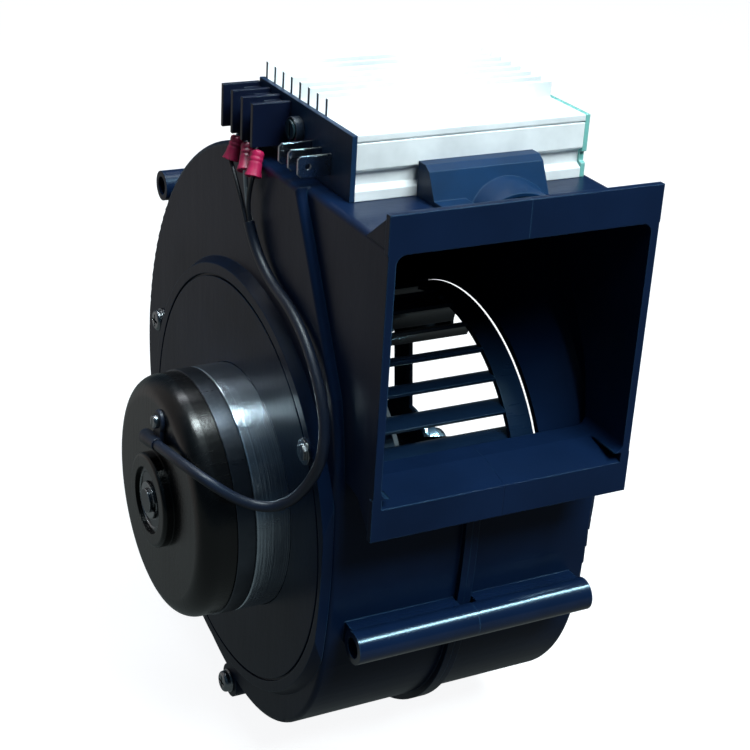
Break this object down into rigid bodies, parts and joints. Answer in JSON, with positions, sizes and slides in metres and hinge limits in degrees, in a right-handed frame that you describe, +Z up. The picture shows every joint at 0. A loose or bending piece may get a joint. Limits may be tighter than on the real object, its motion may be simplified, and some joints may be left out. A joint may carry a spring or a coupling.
{
  "type": "dc blower fan",
  "caption": "Centrifugal dc blower with a split scroll housing, side motor, square outlet and a finned speed controller on the roof.",
  "frame": {"origin": "middle of the front clamp tube's bore, on the seam of the housing", "axes": "+X along the fan axis from the motor to the air inlet, outlet facing -Y, +Z up to the controller"},
  "size_m": [0.1313, 0.1784, 0.227],
  "materials": {
    "housing_plastic": "semi-gloss moulded black",
    "clip_plastic": "moulded blue-black",
    "screw_steel": "zinc plated",
    "bare_aluminium": "extruded, bare",
    "plate_black": "matte black",
    "plate_clear": "pale blue-green",
    "board": "solder resist",
    "capacitor_can": "satin",
    "package_black": "moulded",
    "terminal_plastic": "moulded black",
    "tin_plate": "tin plated",
    "sleeve_red": "crimson vinyl",
    "pot_plastic": "moulded",
    "pot_core": "moulded, glossy",
    "motor_paint": "gloss black",
    "motor_steel": "turned and plated",
    "plated_dark": "dark plated",
    "magnet_ferrite": "sintered",
    "bearing_steel": "ground",
    "lamination": "stacked sheet",
    "copper": "enamelled wire",
    "carbon": "pressed carbon",
    "insulator": "laminated board",
    "wheel_plastic": "moulded black",
    "cable_black": "matte sheath",
    "lead_grey": "smooth insulation",
    "lead_dark": "smooth insulation"
  },
  "bodies": {
    "casing": {"housing_motor_side": "housing_plastic", "housing_inlet_side": "housing_plastic", "case_screws": "screw_steel", "controller_clip_front": "clip_plastic", "controller_clip_rear": "clip_plastic", "clip_screws": "screw_steel", "heat_sink": "bare_aluminium", "end_plate_black": "plate_black", "end_plate_clear": "plate_clear", "controller_board": "board", "capacitors": "capacitor_can", "power_transistors": "package_black", "terminal_block": "terminal_plastic", "terminal_plates": "tin_plate", "terminal_screws": "screw_steel", "fork_terminals": "tin_plate", "terminal_sleeves": "sleeve_red", "tab_terminals": "tin_plate", "trim_pot_body": "pot_plastic", "motor_end_cap": "motor_paint", "cable_clamp_screw": "screw_steel", "cable_grommet": "cable_black", "brush_ring": "plated_dark", "motor_can": "motor_steel", "motor_mount_plate": "plated_dark", "motor_mount_screws": "screw_steel", "magnets": "magnet_ferrite", "rear_bearing_outer": "bearing_steel", "front_bearing_outer": "bearing_steel", "brush_plate": "insulator", "brush_holders": "tin_plate", "brush_spring_upper": "screw_steel", "brush_spring_lower": "screw_steel", "motor_cable": "cable_black", "lead_wire_1": "lead_dark", "lead_wire_2": "lead_grey", "lead_wire_3": "lead_dark"},
    "rotor": {"shaft": "bearing_steel", "retaining_ring": "screw_steel", "armature_core": "lamination", "armature_windings": "copper", "commutator": "copper", "rear_bearing_inner": "bearing_steel", "front_bearing_inner": "bearing_steel", "impeller_blades": "wheel_plastic", "impeller_ring_inlet": "wheel_plastic", "impeller_ring_motor": "wheel_plastic", "impeller_disc": "wheel_plastic", "impeller_hub": "motor_steel", "shaft_nut": "screw_steel"},
    "rear_cage": {"rear_bearing_cage": "bearing_steel"},
    "front_cage": {"front_bearing_cage": "bearing_steel"},
    "upper_brush": {"brush_upper": "carbon"},
    "lower_brush": {"brush_lower": "carbon"},
    "trim_knob": {"trim_pot_rotor": "pot_core"}
  },
  "joints": [
    {"name": "rotor_spin", "type": "hinge", "parent": "casing", "child": "rotor", "pos_m": [0, 0.0684, 0.0237], "axis": [1, 0, 0], "continuous": true},
    {"name": "rear_cage_roll", "type": "hinge", "parent": "casing", "child": "rear_cage", "pos_m": [0, 0.0684, 0.0237], "axis": [1, 0, 0], "continuous": true},
    {"name": "front_cage_roll", "type": "hinge", "parent": "casing", "child": "front_cage", "pos_m": [0, 0.0684, 0.0237], "axis": [1, 0, 0], "continuous": true},
    {"name": "upper_brush_slide", "type": "slide", "parent": "casing", "child": "upper_brush", "axis": [0, 0, 1], "range_m": [0, 0.0045], "deforming": ["brush_spring_upper"]},
    {"name": "lower_brush_slide", "type": "slide", "parent": "casing", "child": "lower_brush", "axis": [0, 0, -1], "range_m": [0, 0.0045], "deforming": ["brush_spring_lower"]},
    {"name": "trim_turn", "type": "hinge", "parent": "casing", "child": "trim_knob", "pos_m": [-0.0395, 0.0598, 0.1447], "axis": [1, 0, 0], "range_deg": [-135, 135]}
  ],
  "couplings": [
    {"joint": "rear_cage_roll", "follows": "rotor_spin", "ratio": 0.3867},
    {"joint": "front_cage_roll", "follows": "rotor_spin", "ratio": 0.3867}
  ]
}
